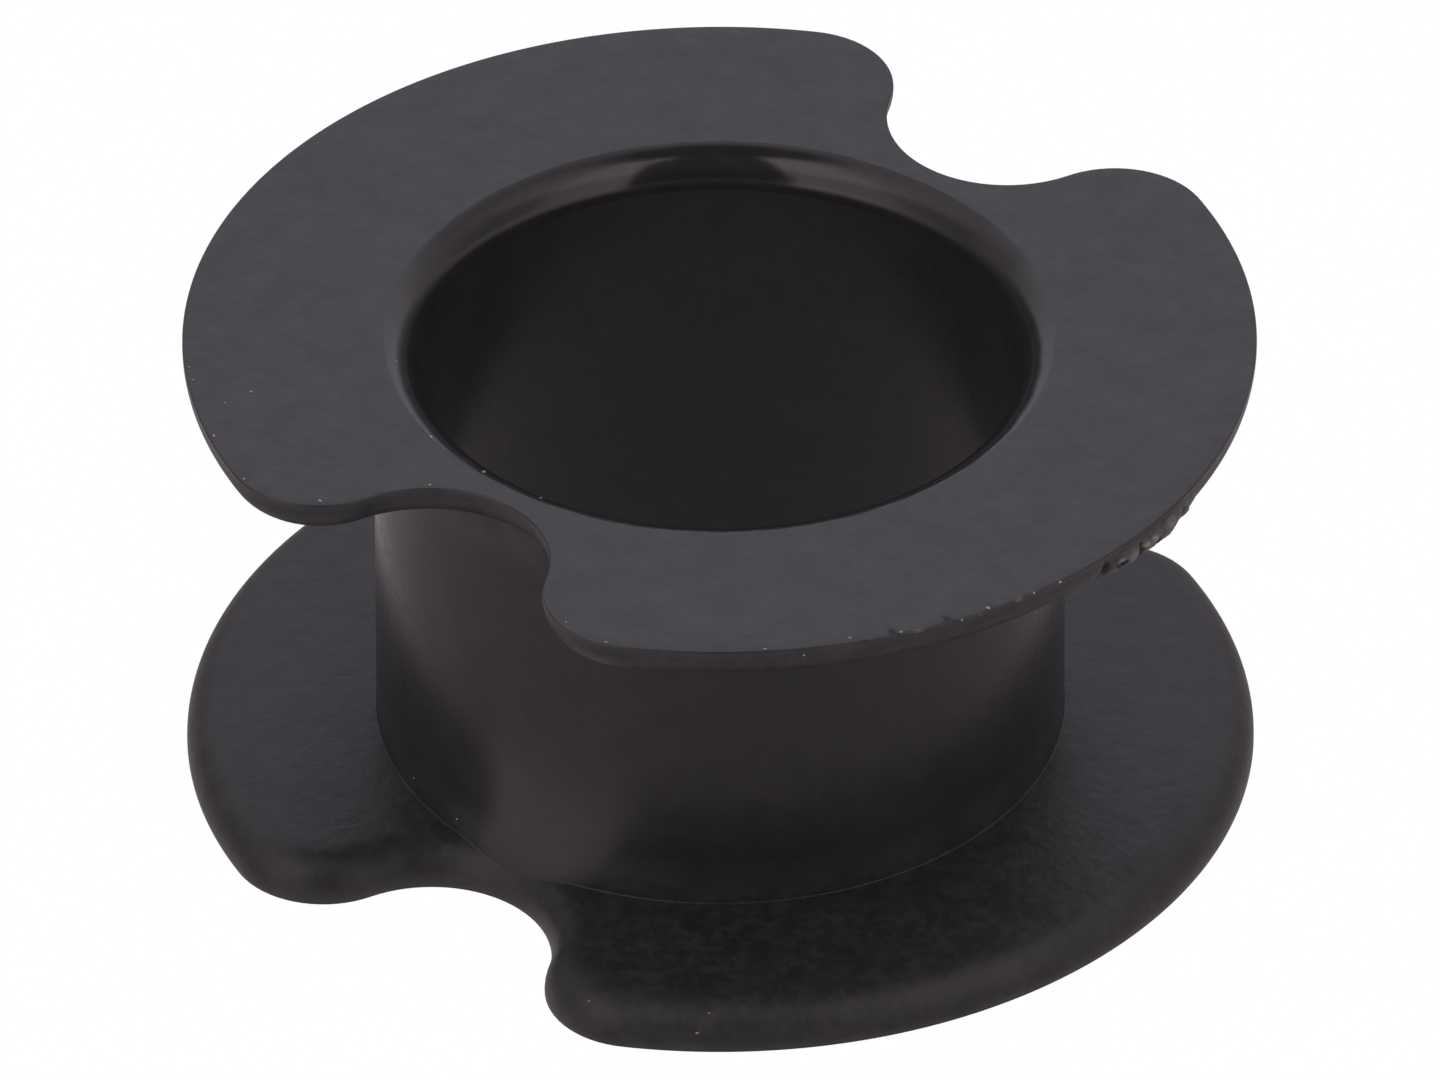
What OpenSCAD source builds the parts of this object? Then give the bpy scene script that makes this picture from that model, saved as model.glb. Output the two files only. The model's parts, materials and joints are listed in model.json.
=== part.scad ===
// Coil former for a small two-notch pot core, moulded in one piece.
// Real size in millimetres. The bore axis is Z, the lower flange face is at z = 0
// and the two notches open towards +Y and -Y.

/* [Flanges] */
// Outside diameter of both flanges
flange_d = 7.4; // [7.3:0.05:8.0]
// Height over both flange faces
overall_h = 3.4; // [2.8:0.05:4.4]
// Thickness of each flange
flange_t = 0.3; // [0.26:0.01:0.45]
// Rounding of the flange edges towards the outer faces
outer_edge_r = 0.04; // [0.03:0.01:0.08]
// Rounding of the flange edges towards the winding
inner_edge_r = 0.21; // [0.08:0.01:0.22]

/* [Barrel] */
// Diameter of the tube that carries the winding
barrel_d = 4.8; // [4.5:0.05:4.9]
// Diameter of the through bore that slides over the core's centre post
bore_d = 4.15; // [3.8:0.05:4.3]
// How far the bore's mouth widens all round, on both faces
mouth_w = 0.22; // [0.1:0.01:0.28]
// Rounding of the mouth, which meets the face at a crisp edge
lip_r = 0.3; // [0.24:0.01:0.45]
// Fillet between the tube and each flange
foot_r = 0.03; // [0.02:0.01:0.12]

/* [Notches] */
// Number of notches in each flange, evenly spaced
notch_count = 2; // [1:1:4]
// Depth of a notch, measured inwards from the rim
notch_depth = 1.236; // [0.9:0.001:1.25]
// Radius of the hollow floor of a notch
notch_r = 0.832; // [0.6:0.001:0.95]
// Radius of the corner where a notch runs out into the rim
corner_r = 0.65; // [0.4:0.01:0.75]

/* [Hidden] */
$fn = 96;
// overshoot of the cutting bodies past the faces they open
over = 1;

flange_r = flange_d / 2;
barrel_r = barrel_d / 2;
bore_r = bore_d / 2;
// height over which the mouth narrows to the bore
mouth_h = sqrt(pow(lip_r, 2) - pow(lip_r - mouth_w, 2));

// centre of a notch's floor arc, on the notch's middle line
floor_out = flange_r - notch_depth + notch_r;
// the corner arc touches the rim circle from inside and the floor circle from outside
corner_reach = flange_r - corner_r;
corner_out = (pow(corner_reach, 2) - pow(notch_r + corner_r, 2) + pow(floor_out, 2)) / (2 * floor_out);
corner_side = sqrt(pow(corner_reach, 2) - pow(corner_out, 2));

// What a quarter round of radius r leaves outside it, for rounding a convex corner
module corner_waste(r) {
    difference() {
        square(r + over);
        circle(r);
    }
}

// Section of a flange from x = 0 to its rounded edge at x = r, outer face down
module edge_section(r) {
    difference() {
        square([r, flange_t]);
        translate([r - inner_edge_r, flange_t - inner_edge_r]) corner_waste(inner_edge_r);
        translate([r - outer_edge_r, outer_edge_r]) mirror([0, 1]) corner_waste(outer_edge_r);
    }
}

// Upright prism through both faces of a flange, over the given outline
module zone(points) {
    translate([0, 0, -over]) linear_extrude(flange_t + 2 * over) polygon(points);
}

// Turns its child to every notch of a flange, the notch opening towards +X before
module at_notches() {
    for (i = [0 : notch_count - 1])
        rotate([0, 0, 90 + i * 360 / notch_count]) children();
}

// The part of a flange around one notch: the web behind its floor and its two corners
module notch_sector() {
    corner = [corner_out, corner_side];
    other = [corner_out, -corner_side];
    floor = [floor_out, 0];
    intersection() {
        zone([[0, 0], other, floor, corner]);
        translate(floor)
            rotate_extrude() translate([notch_r + floor_out, 0]) mirror([1, 0]) edge_section(floor_out);
    }
    for (side = [0, 1])
        mirror([0, side, 0])
            intersection() {
                zone([corner, floor, [2 * floor_out, 0], 2 * corner]);
                translate(corner) rotate_extrude() edge_section(corner_r);
            }
}

// A flange with its outer face at z = 0 and its winding side up
module flange() {
    difference() {
        rotate_extrude() edge_section(flange_r);
        at_notches()
            zone([[0, 0], [corner_out, -corner_side], 2 * [corner_out, -corner_side],
                  2 * [corner_out, corner_side], [corner_out, corner_side]]);
    }
    at_notches() notch_sector();
    // fillet around the tube's foot, cleared where the rounded notch edge reaches it
    difference() {
        rotate_extrude()
            translate([barrel_r, flange_t])
                difference() {
                    square(foot_r);
                    translate([foot_r, foot_r]) circle(foot_r);
                }
        at_notches() translate([floor_out, 0, 0]) cylinder(r = notch_r + inner_edge_r, h = flange_t + over);
    }
}

// The through bore with both of its rounded mouths
module bore_waste() {
    translate([0, 0, -over]) cylinder(r = bore_r, h = overall_h + 2 * over);
    for (top = [0, 1])
        translate([0, 0, top * overall_h])
            mirror([0, 0, top])
                rotate_extrude()
                    difference() {
                        square([bore_r + lip_r, mouth_h]);
                        translate([bore_r + lip_r, mouth_h]) circle(lip_r);
                    }
}

// The whole moulding: tube, two flanges, bore
module former() {
    color([0.2, 0.2, 0.21])
        difference() {
            union() {
                cylinder(r = barrel_r, h = overall_h);
                flange();
                translate([0, 0, overall_h]) mirror([0, 0, 1]) flange();
            }
            bore_waste();
        }
}

former();
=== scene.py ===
import json
import math
import random
import bpy
import bmesh
import numpy as np
from mathutils import Matrix, Quaternion, Vector, noise
from mathutils.bvhtree import BVHTree


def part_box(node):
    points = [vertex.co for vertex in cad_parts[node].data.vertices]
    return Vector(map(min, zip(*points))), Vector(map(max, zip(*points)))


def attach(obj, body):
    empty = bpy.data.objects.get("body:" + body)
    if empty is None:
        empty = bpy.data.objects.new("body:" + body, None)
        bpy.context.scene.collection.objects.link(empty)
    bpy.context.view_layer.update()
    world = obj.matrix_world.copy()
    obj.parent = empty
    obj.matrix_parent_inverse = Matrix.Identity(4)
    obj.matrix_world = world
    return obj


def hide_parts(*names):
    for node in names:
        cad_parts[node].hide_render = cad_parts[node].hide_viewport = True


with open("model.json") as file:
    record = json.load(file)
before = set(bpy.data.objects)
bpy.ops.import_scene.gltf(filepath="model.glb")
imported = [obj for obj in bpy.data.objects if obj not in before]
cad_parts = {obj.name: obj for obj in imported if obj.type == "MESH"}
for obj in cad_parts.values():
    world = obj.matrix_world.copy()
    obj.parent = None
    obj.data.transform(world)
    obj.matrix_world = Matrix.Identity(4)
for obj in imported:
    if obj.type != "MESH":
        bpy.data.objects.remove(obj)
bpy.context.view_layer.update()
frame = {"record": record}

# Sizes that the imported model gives, in metres
MM = 0.001
low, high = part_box("former")
bore_dims = next(mount["dims"] for mount in frame["record"]["mounts"] if mount["name"] == "bore")
RIM_R = (high.x - low.x) / 2
HEIGHT = high.z - low.z
BORE_R = bore_dims["r_mm"] * MM
MOUTH_H = (HEIGHT - bore_dims["length_mm"] * MM) / 2

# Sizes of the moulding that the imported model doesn't give
NOTCH_COUNT = 2
FIRST_NOTCH = math.radians(90)
NOTCH_DEPTH = 1.236 * MM
NOTCH_R = 0.832 * MM
CORNER_R = 0.65 * MM
FLANGE_T = 0.3 * MM
OUTER_EDGE_R = 0.015 * MM
INNER_EDGE_R = 0.27 * MM
BARREL_R = 2.385 * MM
FOOT_R = 0.01 * MM
MOUTH_W = 0.22 * MM

# Behind a notch, the edge's rounding takes at most the first of these shares of the room in front of the
# barrel, and the foot's fillet takes at most the second of what is left
EDGE_SHARE, FOOT_SHARE = 0.6, 0.5

# The mouth of the bore is an arc. It meets the bore at a slight angle, and the face at a crisp edge that
# strays a little from a true circle.
LIP_R = (MOUTH_W**2 + MOUTH_H**2) / (2 * MOUTH_W)
LIP_START, LIP_END = math.radians(10), math.asin(MOUTH_H / LIP_R)
MOUTH_WOBBLE = 0.006 * MM
WOBBLE_SCALE = 9

# A notch opening towards +X: the centres of its floor arc and of a corner arc, the angles at which the arcs
# meet, and how long each arc is in the half period from the notch's middle
FLOOR_X = RIM_R - NOTCH_DEPTH + NOTCH_R
CORNER_REACH = RIM_R - CORNER_R
CORNER_X = (CORNER_REACH**2 - (NOTCH_R + CORNER_R)**2 + FLOOR_X**2) / (2 * FLOOR_X)
CORNER_Y = math.sqrt(CORNER_REACH**2 - CORNER_X**2)
CORNER_START = math.atan2(-CORNER_Y, FLOOR_X - CORNER_X)
RIM_START = math.atan2(CORNER_Y, CORNER_X)
FLOOR_LEN = NOTCH_R * -CORNER_START
CORNER_LEN = CORNER_R * (RIM_START - CORNER_START)
RIM_LEN = RIM_R * (math.pi / NOTCH_COUNT - RIM_START)
HALF_LEN = FLOOR_LEN + CORNER_LEN + RIM_LEN
FULL_LEN = 2 * NOTCH_COUNT * HALF_LEN

# The remains of the gate are on the upper rim at +X, which is this far along the outline
GATE_AT = 3 * HALF_LEN
GATE_HALF_LEN = 0.62 * MM

# Their marks in mm: middle along the rim and below the top face, half length, half height, relief, and tone,
# which is above 0 where the plastic is torn pale and below 0 where a hollow gets painted shade
GATE_MARKS = [
    (-0.07, 0.17, 0.40, 0.15, 0.05, 0.12),
    (0.30, 0.15, 0.30, 0.13, 0.025, 0.08),
    (-0.46, 0.12, 0.034, 0.06, -0.05, -1.1),
    (-0.40, 0.15, 0.04, 0.05, 0.01, 0.2),
    (-0.34, 0.10, 0.04, 0.015, 0.015, 0.9),
    (-0.32, 0.14, 0.055, 0.028, -0.05, -1.3),
    (-0.22, 0.12, 0.05, 0.05, 0.01, 0.35),
    (-0.14, 0.14, 0.026, 0.085, -0.06, -1.3),
    (-0.05, 0.09, 0.08, 0.022, 0.015, 2.0),
    (-0.02, 0.15, 0.06, 0.035, 0.005, 0.2),
    (0.05, 0.14, 0.025, 0.03, -0.03, -0.9),
    (0.10, 0.18, 0.08, 0.05, -0.015, -0.3),
    (0.20, 0.07, 0.06, 0.03, 0.01, 0.35),
    (0.39, 0.10, 0.03, 0.025, -0.02, -0.6),
    (0.45, 0.16, 0.04, 0.04, 0.01, 0.3),
]

# How far out a mark reaches, in its half sizes, and how fast it comes in from there to its full strength
MARK_REACH, MARK_SLOPE = 1.15, 1.7

# The worn strip that the marks lie in: its relief and tone, in mm its limits below the top face and how far
# it fades there, how steeply it fades at its ends, and its noise, whose slice sets it apart from the others
WORN_RELIEF, WORN_TONE = 0.008 * MM, 0.12
WORN_FROM, WORN_TO, WORN_FADE = 0.03, 0.27, 0.03
WORN_END_SLOPE = 4
WORN_PER_MM, WORN_SLICE, WORN_FRACTAL = 14, 3, (1, 2, 3)

# A ragged stretch of the upper flange's edge, in front of the gate, with its bumps and its pale chips, each
# from a slice of noise of its own
BURR_FROM, BURR_TO = GATE_AT - 2.4 * MM, GATE_AT - 0.92 * MM
BURR = 0.012 * MM
BUMPS_PER_MM, CHIPS_PER_MM, BUMP_SLICE, CHIP_SLICE = 12, 9, 0, 5
CHIP_COMMON, CHIP_RELIEF, CHIP_TONE, CHIP_TONE_FROM = 0.1, 1.5, 2.4, 0.6

# Columns of the mesh along the outline, closest together at the gate and the ragged edge
COARSE_STEP, FINE_STEP = 0.062 * MM, 0.016 * MM
FINE_FROM, FINE_TO = BURR_FROM, GATE_AT + 0.65 * MM

# Rings of the mesh in each zone. Beside a crisp edge, an extra ring lies close to it, and the others keep a
# margin from it, both as shares of the zone's width.
LIP_RINGS, FACE_RINGS, EDGE_RINGS, WALL_RINGS, ROUND_RINGS = 12, 10, 6, 6, 25
INNER_RINGS, FOOT_RINGS, BARREL_RINGS, BORE_RINGS = 10, 6, 7, 5
LIP_CLOSE, FACE_CLOSE, BORE_CLOSE = 0.01, 0.01, 0.003
MARGIN, FACE_MARGIN = 0.05, 0.08

# How far round from a notch's middle the barrel's points lie that belong to the quarters and the ends of the
# notch's floor
BEHIND_QUARTER, BEHIND_END = math.radians(12), math.radians(18)

# How strongly the curves across a flange keep to the right angle at which they leave the outline
STRAIGHT_SHARE = 0.3


def fold(along):
    """The half period that each distance is in, the distance folded into the first, and which are odd."""
    half, into = np.divmod(along, HALF_LEN)
    odd = half % 2 == 1
    return half, np.where(odd, HALF_LEN - into, into), odd


def notch_turn(half):
    """The direction of the notch that a half period of the outline belongs to."""
    return FIRST_NOTCH + ((half + 1) // 2) * 2 * math.pi / NOTCH_COUNT


def outline(along):
    """Points, outward normals and notch centres of the outline, at distances from the middle of a notch."""
    half, a, odd = fold(along)
    floor_turn = a / NOTCH_R
    corner_turn = CORNER_START + (a - FLOOR_LEN) / CORNER_R
    rim_turn = RIM_START + (a - FLOOR_LEN - CORNER_LEN) / RIM_R
    on_floor = a < FLOOR_LEN
    on_corner = ~on_floor & (a < FLOOR_LEN + CORNER_LEN)
    kinds = [on_floor, on_corner]
    floor_x, floor_y = FLOOR_X - NOTCH_R * np.cos(floor_turn), NOTCH_R * np.sin(floor_turn)
    corner_x = CORNER_X + CORNER_R * np.cos(corner_turn)
    corner_y = CORNER_Y + CORNER_R * np.sin(corner_turn)
    x = np.select(kinds, [floor_x, corner_x], RIM_R * np.cos(rim_turn))
    y = np.select(kinds, [floor_y, corner_y], RIM_R * np.sin(rim_turn))
    nx = np.select(kinds, [np.cos(floor_turn), np.cos(corner_turn)], np.cos(rim_turn))
    ny = np.select(kinds, [-np.sin(floor_turn), np.sin(corner_turn)], np.sin(rim_turn))
    side = np.where(odd, -1.0, 1.0)
    y, ny = y * side, ny * side
    turn = notch_turn(half)
    c, s = np.cos(turn), np.sin(turn)
    point = np.stack([c * x - s * y, s * x + c * y], 1)
    normal = np.stack([c * nx - s * ny, s * nx + c * ny], 1)
    centre = np.stack([c * FLOOR_X, s * FLOOR_X], 1)
    return point, normal, centre


def columns():
    """Distances along the outline where the mesh has its columns."""
    fine_len = FINE_TO - FINE_FROM
    coarse_len = FULL_LEN - fine_len
    fine = np.linspace(FINE_FROM, FINE_TO, round(fine_len / FINE_STEP), endpoint=False)
    coarse_to = FINE_TO + coarse_len
    coarse = np.linspace(FINE_TO, coarse_to, round(coarse_len / COARSE_STEP), endpoint=False)
    return np.concatenate([fine, coarse]) % FULL_LEN


def rays(along):
    """Directions from the axis for the barrel's and the bore's points, spread behind each kind of arc."""
    half, a, odd = fold(along)
    knots = [0, FLOOR_LEN / 2, FLOOR_LEN, FLOOR_LEN + CORNER_LEN, HALF_LEN]
    spread = np.interp(a, knots, [0, BEHIND_QUARTER, BEHIND_END, RIM_START, math.pi / NOTCH_COUNT])
    turn = notch_turn(half) + np.where(odd, -spread, spread)
    return np.stack([np.cos(turn), np.sin(turn)], 1)


def quarter(steps):
    """Angles of a quarter turn, without the first."""
    return np.linspace(0, math.pi / 2, steps + 1)[1:]


def steps_up(steps):
    """Shares of a way, without the first."""
    return np.linspace(0, 1, steps + 1)[1:]


def inward(start, normal, goal, share):
    """Points on curves that leave the outline at right angles and end at the goal."""
    control = start - normal * STRAIGHT_SHARE * np.linalg.norm(goal - start, axis=1)[:, None]
    return (1 - share)**2 * start + 2 * share * (1 - share) * control + share**2 * goal


def flange_rings(along):
    """Rings of the lower flange from the bore's mouth, over the face and the rim, to the barrel's foot."""
    point, normal, centre = outline(along)
    ray = rays(along)
    rings, zones = [], []

    def add_ring(zone, plan, z):
        """Adds a ring with its points' places in plan and their height."""
        rings.append(np.column_stack([plan, np.broadcast_to(z, len(along))]))
        zones.append(zone)

    # the outer side: the mouth of the bore, the face, its rounded edge and the rim's wall
    wobble = np.array([noise.noise((WOBBLE_SCALE * x, WOBBLE_SCALE * y, 0)) for x, y in ray])[:, None]
    mouth = MOUTH_W + MOUTH_WOBBLE * wobble
    lip_shares = [0, LIP_CLOSE, *np.linspace(MARGIN, 1 - MARGIN, LIP_RINGS), 1 - LIP_CLOSE, 1]
    for t in LIP_START + np.array(lip_shares) * (LIP_END - LIP_START):
        widening = (math.cos(LIP_START) - math.cos(t)) / (math.cos(LIP_START) - math.cos(LIP_END))
        add_ring("lip", ray * (BORE_R + mouth * widening), MOUTH_H - LIP_R * math.sin(t))
    edge = point - normal * OUTER_EDGE_R
    for share in [1 - FACE_CLOSE, *np.linspace(1 - FACE_MARGIN, 0, FACE_RINGS)]:
        add_ring("face", inward(edge, normal, ray * (BORE_R + mouth), share), 0.0)
    for t in quarter(EDGE_RINGS):
        plan = point - normal * OUTER_EDGE_R * (1 - math.sin(t))
        add_ring("edge", plan, OUTER_EDGE_R * (1 - math.cos(t)))
    wall_top = FLANGE_T - INNER_EDGE_R
    for share in steps_up(WALL_RINGS):
        add_ring("wall", point, OUTER_EDGE_R + share * (wall_top - OUTER_EDGE_R))

    # the winding side: the edge's rounding, which runs into the barrel behind a notch, and the barrel's foot
    gap = np.linalg.norm(point, axis=1) - BARREL_R
    reach = np.minimum(INNER_EDGE_R, EDGE_SHARE * gap)[:, None]
    shelf = point - normal * reach
    foot = np.minimum(FOOT_R, FOOT_SHARE * (np.linalg.norm(shelf, axis=1) - BARREL_R))[:, None]

    def winding_side(plan, inset):
        """The height of the winding side at places in plan that are so far in from the outline."""
        depth = np.clip(INNER_EDGE_R - inset, 0, INNER_EDGE_R)
        edge_z = wall_top + np.sqrt(INNER_EDGE_R**2 - depth**2)
        hollow = np.clip(BARREL_R + FOOT_R - np.linalg.norm(plan, axis=1), 0, FOOT_R)
        fillet = FOOT_R - np.sqrt(FOOT_R**2 - hollow**2)
        return edge_z + fillet * np.clip(inset / INNER_EDGE_R, 0, 1)

    for t in quarter(ROUND_RINGS):
        inset = reach * (1 - math.cos(t))
        plan = point - normal * inset
        add_ring("round", plan, winding_side(plan, inset[:, 0]))
    inner = [inward(shelf, normal, ray * (BARREL_R + foot), share) for share in steps_up(INNER_RINGS)]
    inner += [ray * (BARREL_R + foot * (1 - math.sin(t))) for t in quarter(FOOT_RINGS)]
    for plan in inner:
        inset = np.linalg.norm(plan - centre, axis=1) - NOTCH_R
        add_ring("inner", plan, winding_side(plan, inset))
    return rings, zones


def between(first, second, shares):
    """Rings at shares of the way from one ring to another."""
    return [first + share * (second - first) for share in shares]


def former_mesh():
    """The moulding as a closed grid: points of rings by columns, the rings' zones, the columns' places."""
    along = columns()
    lower, zones = flange_rings(along)
    upper = [ring * (1, 1, -1) + (0, 0, HEIGHT) for ring in reversed(lower)]
    barrel = between(lower[-1], upper[0], np.linspace(0, 1, BARREL_RINGS + 2)[1:-1])
    bore_shares = [BORE_CLOSE, *np.linspace(MARGIN, 1 - MARGIN, BORE_RINGS), 1 - BORE_CLOSE]
    bore = between(upper[-1], lower[0], bore_shares)
    zones = zones + ["barrel"] * len(barrel) + zones[::-1] + ["bore"] * len(bore)
    return np.array(lower + barrel + upper + bore), zones, along


def grid_faces(n_rings, n_columns):
    """Four-cornered faces of a grid that closes on itself both ways."""
    a = np.arange(n_rings * n_columns).reshape(n_rings, n_columns)
    b = np.roll(a, -1, axis=0)
    return np.stack([a, b, np.roll(b, -1, axis=1), np.roll(a, -1, axis=1)], -1).reshape(-1, 4)


def clamp(value):
    """The value, or the nearer of 0 and 1 where it lies outside them."""
    return min(1, max(0, value))


def gate_at(s, below):
    """How far the gate's remains stand out, in metres, and their tone, at a place on the rim in mm."""
    ends = clamp(WORN_END_SLOPE * (1 - abs(s) * MM / GATE_HALF_LEN))
    worn = ends * clamp((below - WORN_FROM) / WORN_FADE) * clamp((WORN_TO - below) / WORN_FADE)
    rough = noise.fractal((s * WORN_PER_MM, below * WORN_PER_MM, WORN_SLICE), *WORN_FRACTAL)
    move, tone = WORN_RELIEF * rough * worn, WORN_TONE * worn
    for along_mm, below_mm, half_len, half_height, relief, mark in GATE_MARKS:
        far = math.hypot((s - along_mm) / half_len, (below - below_mm) / half_height)
        share = clamp(MARK_SLOPE * (MARK_REACH - far))
        move += relief * MM * share
        tone += mark * share
    return move, tone


def burr_at(s):
    """How far the ragged edge stands out, in metres, and its tone, at a distance along the outline in mm."""
    chip = max(0, noise.noise((s * CHIPS_PER_MM, CHIP_SLICE, 0)) + CHIP_COMMON)
    move = BURR * (noise.noise((s * BUMPS_PER_MM, BUMP_SLICE, 0)) + CHIP_RELIEF * chip)
    return move, max(0, CHIP_TONE * chip - CHIP_TONE_FROM)


def add_relief(points, zones, along):
    """Moves the upper rim's points for the gate's remains and the burr, and returns every point's tone."""
    tone = np.zeros(points.shape[:2])
    out = np.column_stack([outline(along)[1], np.zeros(len(along))])
    at_gate = np.flatnonzero(abs(along - GATE_AT) < GATE_HALF_LEN)
    at_burr = np.flatnonzero((along > BURR_FROM) & (along < BURR_TO))
    for i, zone in enumerate(zones):
        if points[i, 0, 2] < HEIGHT / 2 or zone not in ("edge", "wall", "round"):
            continue
        for j in at_gate:
            move, tone[i, j] = gate_at((along[j] - GATE_AT) / MM, (HEIGHT - points[i, j, 2]) / MM)
            points[i, j] += out[j] * move
        if zone == "edge":
            for j in at_burr:
                move, tone[i, j] = burr_at(along[j] / MM)
                points[i, j] += out[j] * move
    return tone


def closed_volume(points, faces):
    """Signed volume inside a closed mesh of four-cornered faces."""
    p = points[faces]
    first = np.einsum("ij,ij->i", p[:, 0], np.cross(p[:, 1], p[:, 2]))
    second = np.einsum("ij,ij->i", p[:, 0], np.cross(p[:, 2], p[:, 3]))
    return float(first.sum() + second.sum()) / 6


def add_object(name, data):
    """An object with the given mesh or camera, in the scene."""
    made = bpy.data.objects.new(name, data)
    bpy.context.scene.collection.objects.link(made)
    return made


def make_piece(name, points, faces):
    """A smooth-shaded mesh object in the scene, its faces turned outwards."""
    if closed_volume(points, faces) < 0:
        faces = faces[:, ::-1]
    mesh = bpy.data.meshes.new(name)
    mesh.from_pydata(points.tolist(), [], faces.tolist())
    mesh.polygons.foreach_set("use_smooth", np.ones(len(faces), bool))
    mesh.update()
    return add_object(name, mesh)


def set_attribute(piece, name, values):
    """Stores one number for each point of a piece, for its material to read."""
    layer = piece.data.attributes.new(name, "FLOAT", "POINT")
    layer.data.foreach_set("value", np.ascontiguousarray(values, dtype=np.float32).ravel())


def add_node(tree, kind, inputs=None, **settings):
    """A node with its settings, and with each input given as a value or as another node's output."""
    node = tree.nodes.new(kind)
    for key, value in settings.items():
        setattr(node, key, value)
    for key, value in (inputs or {}).items():
        if isinstance(value, bpy.types.NodeSocket):
            tree.links.new(value, node.inputs[key])
        else:
            node.inputs[key].default_value = value
    return node


def maths(tree, operation, *values, clamped=False):
    """The output of a Math node."""
    inputs = dict(enumerate(values))
    return add_node(tree, "ShaderNodeMath", inputs, operation=operation, use_clamp=clamped).outputs[0]


def scaled(tree, colour, by):
    """A colour with its three parts multiplied by one number."""
    return add_node(tree, "ShaderNodeVectorMath", {0: colour, "Scale": by}, operation="SCALE").outputs[0]


def ramp(tree, value, start, end, to_start=0.0, to_end=1.0, smooth=True):
    """A value carried from one range to another and held at its ends."""
    inputs = {"Value": value, "From Min": start, "From Max": end, "To Min": to_start, "To Max": to_end}
    kind = "SMOOTHSTEP" if smooth else "LINEAR"
    return add_node(tree, "ShaderNodeMapRange", inputs, interpolation_type=kind).outputs[0]


# The places of a Mix node's sockets for its share and for colours, since several sockets have the same name
MIX_SHARE, MIX_FIRST, MIX_SECOND, MIX_RESULT = 0, 6, 7, 2


def mix(tree, share, first, second):
    """The output of a node that mixes two colours, each an output or three numbers."""
    inputs = {MIX_SHARE: share}
    for key, colour in ((MIX_FIRST, first), (MIX_SECOND, second)):
        inputs[key] = colour if isinstance(colour, bpy.types.NodeSocket) else (*colour, 1)
    return add_node(tree, "ShaderNodeMix", inputs, data_type="RGBA").outputs[MIX_RESULT]


def object_place(tree):
    """The place on the object, in metres."""
    return add_node(tree, "ShaderNodeTexCoord").outputs["Object"]


def cloud(tree, per_mm, detail, roughness):
    """Noise that changes so many times in a millimetre of the object."""
    inputs = {"Vector": object_place(tree), "Scale": per_mm / MM, "Detail": detail, "Roughness": roughness}
    return add_node(tree, "ShaderNodeTexNoise", inputs).outputs["Fac"]


def seen_directly(tree):
    """1 for what the camera itself sees, and 0 for light and reflections."""
    return add_node(tree, "ShaderNodeLightPath").outputs["Is Camera Ray"]


def new_material(name):
    """A material, its node tree and its shader."""
    material = bpy.data.materials.new(name)
    material.use_nodes = True
    return material, material.node_tree, material.node_tree.nodes["Principled BSDF"]


# How coarse the mould left each zone, from 0 for polished to 1 for the winding sides, and its roughness
FINISH = {
    "lip": (0.02, 0.12), "face": (0.55, 0.38), "edge": (0.6, 0.38), "wall": (0.6, 0.42),
    "round": (0.9, 0.48), "inner": (1.0, 0.45), "barrel": (0.04, 0.29), "bore": (0.03, 0.28),
}
POLISHED, PLASTIC = (0.029, 0.028, 0.029), (0.0355, 0.0355, 0.0375)
# Of the three colours on the next line, the middle one is painted shade laid into the hollows of the gate's
# marks
STAIN, HOLLOW_SHADE, TORN = (0.016, 0.015, 0.016), (0.006, 0.005, 0.005), (0.32, 0.29, 0.26)

# Two clouds of noise: changes in a millimetre, detail and roughness, and the range in which most of it lies
BROAD, FINE = (3.5, 3, 0.6), (12, 2, 0.6)
CLOUD_RANGE = (0.3, 0.7)

# Where the fine cloud is dark enough for spots, how strong they are, and the power of the grain that keeps
# them to the coarse zones
SPOT_LIMITS, SPOT_SHARE, SPOT_POWER = (0.6, 0.42), 0.5, 3

# Where the fine cloud is pale enough for torn plastic to show, and how much rougher that is
TORN_LIMITS, TORN_ROUGHER = (0.3, 0.6), 0.3

# The grain over which the plastic's colour and its blotches change from those of a polished zone
COLOUR_GRAIN, BLOTCH_GRAIN = (0.0, 0.5), (0.0, 0.6)
BLOTCHY_POLISHED, BLOTCHY_COARSE = 0.1, 0.18
UNEVEN_GLOSS = 0.03
PEBBLE_RELIEF, FINE_SHARE = 0.006 * MM, 0.7


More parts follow.
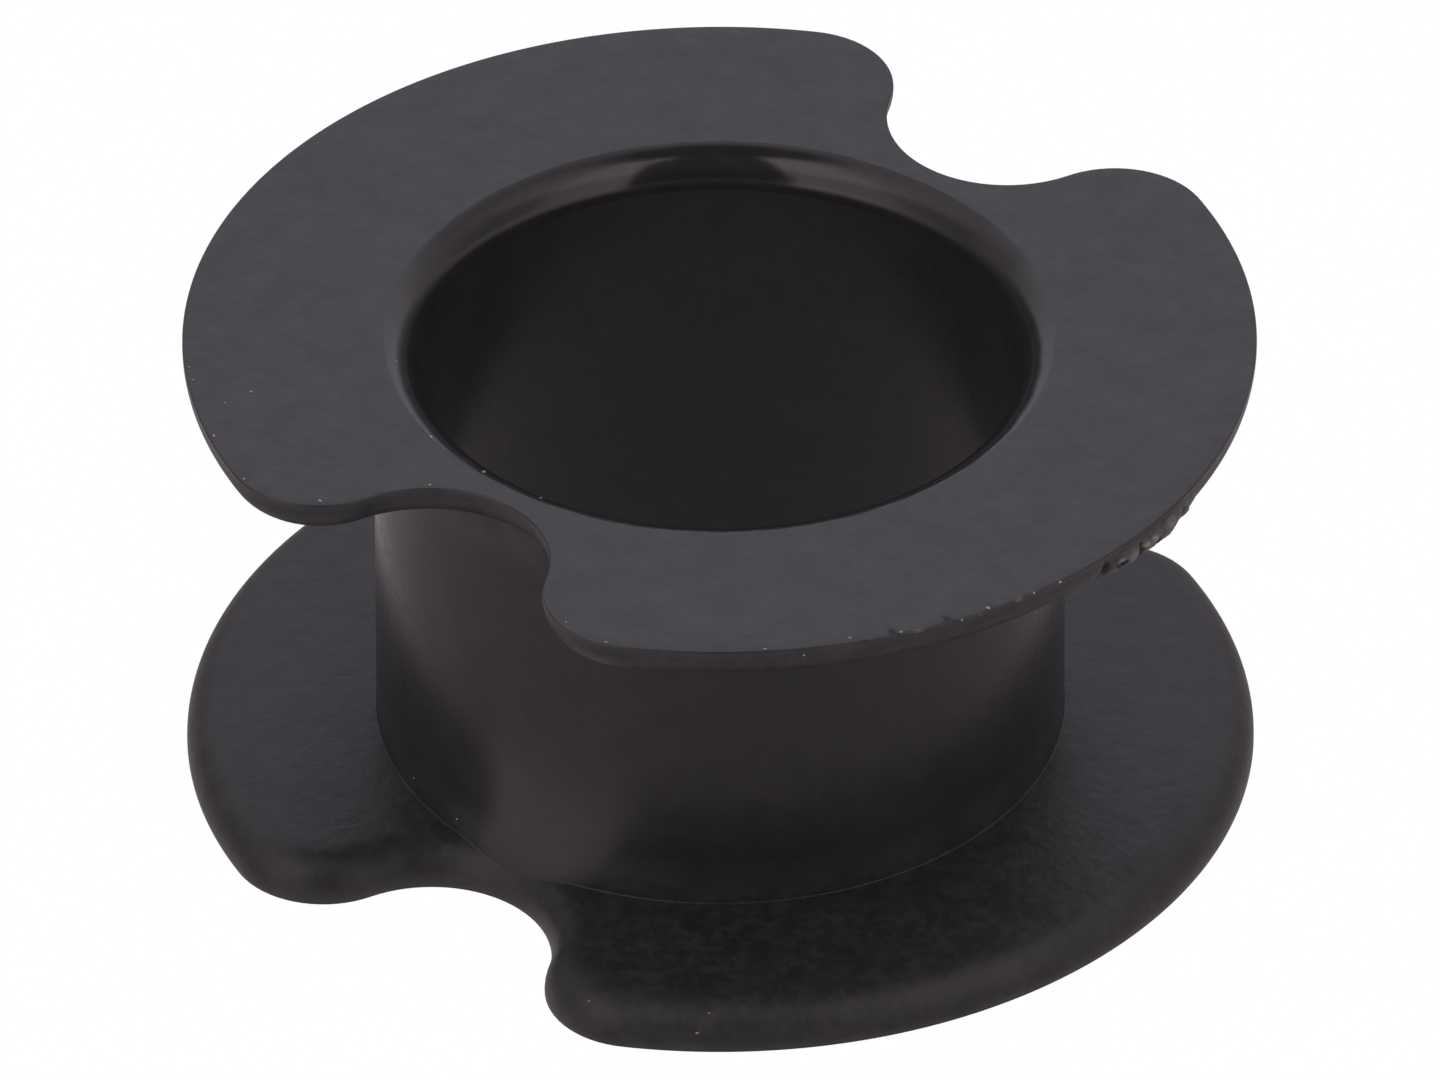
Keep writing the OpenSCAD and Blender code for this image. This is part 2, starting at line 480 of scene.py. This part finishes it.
def moulded_plastic():
    """Black moulded plastic, pebbled where the mould was coarse and smoother where it was turned."""
    material, tree, shader = new_material("moulded_plastic")
    grain, gloss, tone = (add_node(tree, "ShaderNodeAttribute", attribute_name=name).outputs["Fac"]
                          for name in ("grain", "gloss", "tone"))
    broad, fine = cloud(tree, *BROAD), cloud(tree, *FINE)

    # dark spots where the grain is coarse, and soft blotches everywhere
    coarse_only = maths(tree, "POWER", grain, SPOT_POWER)
    spots = maths(tree, "MULTIPLY", ramp(tree, fine, *SPOT_LIMITS), coarse_only)
    colour = mix(tree, ramp(tree, grain, *COLOUR_GRAIN, smooth=False), POLISHED, PLASTIC)
    colour = mix(tree, maths(tree, "MULTIPLY", spots, SPOT_SHARE), colour, STAIN)
    uneven_by = ramp(tree, grain, *BLOTCH_GRAIN, BLOTCHY_POLISHED, BLOTCHY_COARSE, smooth=False)
    blotch = maths(tree, "MULTIPLY_ADD", ramp(tree, broad, *CLOUD_RANGE, -1.0, 1.0), uneven_by, 1.0)
    colour = scaled(tree, colour, blotch)

    # painted shade darkens the hollows, torn and chipped plastic is pale
    colour = mix(tree, maths(tree, "MULTIPLY", tone, -1.0, clamped=True), colour, HOLLOW_SHADE)
    pale = maths(tree, "MULTIPLY", tone, 1.0, clamped=True)
    torn = maths(tree, "MULTIPLY", pale, ramp(tree, fine, *TORN_LIMITS))
    tree.links.new(mix(tree, torn, colour, TORN), shader.inputs["Base Color"])

    # roughness and relief
    uneven = ramp(tree, fine, *CLOUD_RANGE, -UNEVEN_GLOSS, UNEVEN_GLOSS)
    torn_rougher = maths(tree, "MULTIPLY", torn, TORN_ROUGHER)
    rough = maths(tree, "ADD", maths(tree, "ADD", gloss, uneven), torn_rougher)
    tree.links.new(rough, shader.inputs["Roughness"])
    pebbles = maths(tree, "MULTIPLY_ADD", fine, FINE_SHARE, broad)
    inputs = {"Height": maths(tree, "MULTIPLY", pebbles, grain), "Strength": 1.0, "Distance": PEBBLE_RELIEF}
    tree.links.new(add_node(tree, "ShaderNodeBump", inputs).outputs["Normal"], shader.inputs["Normal"])
    return material


CRUMB_DARK, CRUMB_PALE = (0.25, 0.23, 0.22), (0.6, 0.57, 0.54)
CRUMB_CLOUD, CRUMB_ROUGHNESS = (60, 2, 0.5), 0.7


def crumb_plastic():
    """Pale torn crumbs of the same plastic."""
    material, tree, shader = new_material("torn_crumbs")
    colour = mix(tree, cloud(tree, *CRUMB_CLOUD), CRUMB_DARK, CRUMB_PALE)
    tree.links.new(colour, shader.inputs["Base Color"])
    shader.inputs["Roughness"].default_value = CRUMB_ROUGHNESS
    return material


# Camera: its direction from the former and its roll, its distance, the photograph's scale at the former, and
# how far above the middle of the picture the former is
FRAME_W, FRAME_H = 1440, 1080
AZIMUTH, ELEVATION, ROLL = math.radians(37.3), math.radians(35.98), -0.0024
DISTANCE = 0.259
PX_PER_METRE = 144690
ABOVE_MIDDLE_PX = 4.52
SENSOR_W = 36
CLIP_START, CLIP_END = 0.01, 2
flat = math.cos(ELEVATION)
to_camera = Vector((math.sin(AZIMUTH) * flat, -math.cos(AZIMUTH) * flat, math.sin(ELEVATION)))
ahead = Vector((to_camera.x, to_camera.y, 0)).normalized()
look = (-to_camera).to_track_quat("-Z", "Y") @ Quaternion((0, 0, 1), ROLL)
camera = add_object("camera", bpy.data.cameras.new("camera"))
camera.rotation_mode = "QUATERNION"
camera.rotation_quaternion = look
lowered = look @ Vector((0, 1, 0)) * (ABOVE_MIDDLE_PX / PX_PER_METRE)
camera.location = Vector((0, 0, HEIGHT / 2)) + to_camera * DISTANCE - lowered
camera.data.sensor_width = SENSOR_W
camera.data.lens = PX_PER_METRE * DISTANCE * SENSOR_W / FRAME_W
camera.data.clip_start, camera.data.clip_end = CLIP_START, CLIP_END
bpy.context.scene.camera = camera

# The former
points, zones, along = former_mesh()
tone = add_relief(points, zones, along)
points = points.reshape(-1, 3)
faces = grid_faces(len(zones), len(along))
grain, gloss = np.repeat([FINISH[zone] for zone in zones], len(along), axis=0).T
piece = make_piece("former_moulding", points, faces)
set_attribute(piece, "grain", grain)
set_attribute(piece, "gloss", gloss)
set_attribute(piece, "tone", tone)
piece.data.materials.append(moulded_plastic())
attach(piece, "root")
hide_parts("former")

# Pale crumbs on it, placed by the pixels of the photograph where they show, each seated on the surface there
CRUMB_PIXELS = [
    (189, 367), (193, 380), (251, 392), (225, 403), (214, 436), (244, 479), (320, 501), (396, 362),
    (431, 437), (484, 472), (430, 485), (541, 498), (566, 622), (606, 642), (765, 649), (804, 655),
    (850, 638), (901, 632), (962, 620), (988, 608), (1034, 593), (1060, 582), (414, 778), (457, 819),
    (589, 1001), (697, 1033), (709, 1013),
]
CRUMB_R = (0.006 * MM, 0.012 * MM)

# A crumb's length, width and height as shares of its radius, how far out it sits, and how uneven it is.
# LUMP_SPREAD sets the crumbs apart in the noise, so that no two are alike.
CRUMB_LENGTH, CRUMB_WIDTH, CRUMB_HEIGHT = (1.0, 1.7), (0.7, 1.0), 0.6
CRUMB_OUT = 0.15
LUMPINESS, LUMP_SCALE, LUMP_SPREAD = 0.35, 1.7, 9e4
CRUMB_SEED = 4


def crumb_seats(surface):
    """The places on the surface that the camera sees at the crumbs' pixels, with the normals there."""
    for x, y in CRUMB_PIXELS:
        ray = look @ Vector((x - FRAME_W / 2, FRAME_H / 2 - y, -PX_PER_METRE * DISTANCE)).normalized()
        place, normal, _, _ = surface.ray_cast(camera.location, ray)
        yield place, normal if normal.dot(ray) < 0 else -normal


def crumb_mesh(seats):
    """Small uneven lumps, each turned at random about the normal and sunk into the surface at its seat."""
    random.seed(CRUMB_SEED)
    lumps = bmesh.new()
    for place, normal in seats:
        radius = random.uniform(*CRUMB_R)
        turn = normal.to_track_quat("Z", "Y") @ Quaternion((0, 0, 1), random.uniform(0, math.pi))
        length, width = random.uniform(*CRUMB_LENGTH), random.uniform(*CRUMB_WIDTH)
        shape = Matrix.Diagonal((length * radius, width * radius, CRUMB_HEIGHT * radius, 1))
        seat = Matrix.Translation(place + normal * radius * CRUMB_OUT) @ turn.to_matrix().to_4x4() @ shape
        for v in bmesh.ops.create_icosphere(lumps, subdivisions=2, radius=1)["verts"]:
            lump = LUMPINESS * noise.noise(v.co * LUMP_SCALE + place * LUMP_SPREAD)
            v.co = seat @ (v.co * (1 + lump))
    mesh = bpy.data.meshes.new("edge_crumbs")
    lumps.to_mesh(mesh)
    lumps.free()
    return mesh


surface = BVHTree.FromPolygons(points.tolist(), faces.tolist())
crumbs = add_object("edge_crumbs", crumb_mesh(crumb_seats(surface)))
crumbs.data.materials.append(crumb_plastic())
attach(crumbs, "root")

# Floor: a softly glowing table, which the photograph burns out to white. It is dim round a spot in front of
# the former's axis, but for a halo at the foot of the lower flange, which is widest behind it.
FLOOR_HALF, FLOOR_Z = 0.5, -0.002 * MM
FLOOR_GREY, FLOOR_ROUGHNESS, GLOW = (0.1, 0.1, 0.1), 0.9, (0.275, 0.242, 0.251)
SHADE_AHEAD, SHADE_R, UNSHADED_R, UNSHADED = 3 * MM, 6 * MM, 9 * MM, 2.5
HALO_AHEAD, HALO_R, HALO_END_R, HALO = -0.3 * MM, 3.9 * MM, 4.5 * MM, 2.0


def floor_mesh():
    """A square just under the former."""
    mesh = bpy.data.meshes.new("floor")
    signs = ((-1, -1), (1, -1), (1, 1), (-1, 1))
    mesh.from_pydata([(x * FLOOR_HALF, y * FLOOR_HALF, FLOOR_Z) for x, y in signs], [], [(0, 1, 2, 3)])
    return mesh


def glowing_floor():
    """The floor's material: white to the camera, and to the former a pale grey that glows."""
    material, tree, shader = new_material("pale_floor")
    spot = object_place(tree)

    def away(centre, inner, outer, level_in, level_out):
        """A level that changes with the distance from a centre on the floor."""
        inputs = {0: spot, 1: centre}
        far = add_node(tree, "ShaderNodeVectorMath", inputs, operation="DISTANCE").outputs["Value"]
        return ramp(tree, far, inner, outer, level_in, level_out)

    shade = away(ahead * SHADE_AHEAD, SHADE_R, UNSHADED_R, 1.0, UNSHADED)
    halo = away(ahead * HALO_AHEAD, HALO_R, HALO_END_R, HALO, 0.0)
    # there is no halo under the bore
    halo = maths(tree, "MULTIPLY", halo, away(Vector(), BORE_R, BARREL_R, 0.0, 1.0))
    tree.links.new(maths(tree, "MAXIMUM", shade, halo), shader.inputs["Emission Strength"])
    shader.inputs["Emission Color"].default_value = (*GLOW, 1)
    shader.inputs["Base Color"].default_value = (*FLOOR_GREY, 1)
    shader.inputs["Roughness"].default_value = FLOOR_ROUGHNESS
    burnt_out = add_node(tree, "ShaderNodeEmission", {"Color": (1, 1, 1, 1), "Strength": 1.0}).outputs[0]
    inputs = {0: seen_directly(tree), 1: shader.outputs[0], 2: burnt_out}
    both = add_node(tree, "ShaderNodeMixShader", inputs).outputs[0]
    tree.links.new(both, tree.nodes["Material Output"].inputs["Surface"])
    return material


floor = add_object("floor", floor_mesh())
floor.data.materials.append(glowing_floor())

# Surroundings: soft light in three bands of elevation, dark overhead and in front, where the photograph was
# taken from, and dim at the horizon. Each stop is a direction, in degrees round from the front with the
# right above 0, and a level.
LOW_BAND = [(-180, 0.05), (-130, 0.1), (-90, 0.35), (-65, 0.8), (-50, 1.3), (-28, 1.4), (-22, 0.2),
            (30, 0.2), (36, 1.0), (67, 0.8), (90, 0.7), (130, 0.35), (180, 0.05)]
MIDDLE_BAND = [(-180, 1.0), (-150, 0.8), (-125, 0.45), (-90, 0.3), (-72, 0.45), (-62, 0.85), (-28, 1.1),
               (-24, 0), (31, 0), (35, 1.1), (62, 0.8), (72, 0.4), (90, 0.3), (125, 0.55), (150, 0.87),
               (180, 1.0)]
HIGH_BAND = [(-180, 0.7), (-130, 0.6), (-90, 0.8), (-72, 1.05), (-62, 1.4), (-28, 1.5), (-24, 0.05),
             (31, 0.05), (35, 1.45), (62, 1.3), (72, 0.9), (90, 0.7), (130, 0.4), (180, 0.7)]
BRIGHTEST = 1.5
COOL, WARM = (0.96, 0.95, 1.09), (1.06, 0.95, 0.99)
TINTS = [(-180, COOL), (-120, WARM), (120, WARM), (180, COOL)]

# The elevations, in degrees, over which one band gives way to the next, and how dim the horizon is
LOW_TO_MIDDLE, MIDDLE_TO_HIGH, HIGH_TO_DARK = (10, 20), (35, 50), (68, 80)
HORIZON, AT_HORIZON = (0, 14), 0.2


def add_surroundings():
    """The world: white to the camera, and to the former the bands of light."""
    world = bpy.data.worlds.new("studio")
    bpy.context.scene.world = world
    world.use_nodes = True
    tree = world.node_tree
    direction = add_node(tree, "ShaderNodeTexCoord").outputs["Generated"]
    inputs = {"Vector": direction, "Angle": -math.atan2(to_camera.y, to_camera.x)}
    turned = add_node(tree, "ShaderNodeVectorRotate", inputs, rotation_type="Z_AXIS").outputs[0]
    parts = add_node(tree, "ShaderNodeSeparateXYZ", {"Vector": turned}).outputs
    angle = maths(tree, "ARCTAN2", parts["Y"], parts["X"])
    share_round = ramp(tree, angle, -math.pi, math.pi, smooth=False)

    def round_about(stops):
        """The colour in each direction round the former, from stops that hold a grey level or a colour."""
        node = add_node(tree, "ShaderNodeValToRGB", {"Fac": share_round})
        # a ramp starts out with two elements
        elements = node.color_ramp.elements
        for k, (degrees, colour) in enumerate(stops):
            element = elements[k] if k < 2 else elements.new(1)
            element.position = (degrees + 180) / 360
            element.color = (*np.broadcast_to(colour, 3), 1)
        return node.outputs["Color"]

    def rising(limits, at_start=0.0):
        """The share of the way from one elevation to another, or a level that rises to 1 on it."""
        start, end = (math.sin(math.radians(limit)) for limit in limits)
        return ramp(tree, parts["Z"], start, end, at_start, 1.0)

    def band_light(band):
        """The light of a band, as a share of the brightest."""
        return round_about([(degrees, level / BRIGHTEST) for degrees, level in band])

    light = mix(tree, rising(LOW_TO_MIDDLE), band_light(LOW_BAND), band_light(MIDDLE_BAND))
    light = mix(tree, rising(MIDDLE_TO_HIGH), light, band_light(HIGH_BAND))
    light = scaled(tree, light, rising(HORIZON, AT_HORIZON))
    light = mix(tree, rising(HIGH_TO_DARK), light, (0, 0, 0))
    inputs = {0: light, 1: round_about(TINTS)}
    light = add_node(tree, "ShaderNodeVectorMath", inputs, operation="MULTIPLY").outputs[0]
    white = (1 / BRIGHTEST, 1 / BRIGHTEST, 1 / BRIGHTEST)
    background = tree.nodes["Background"]
    tree.links.new(mix(tree, seen_directly(tree), light, white), background.inputs["Color"])
    background.inputs["Strength"].default_value = BRIGHTEST


add_surroundings()
bpy.context.scene.view_settings.view_transform = "Standard"
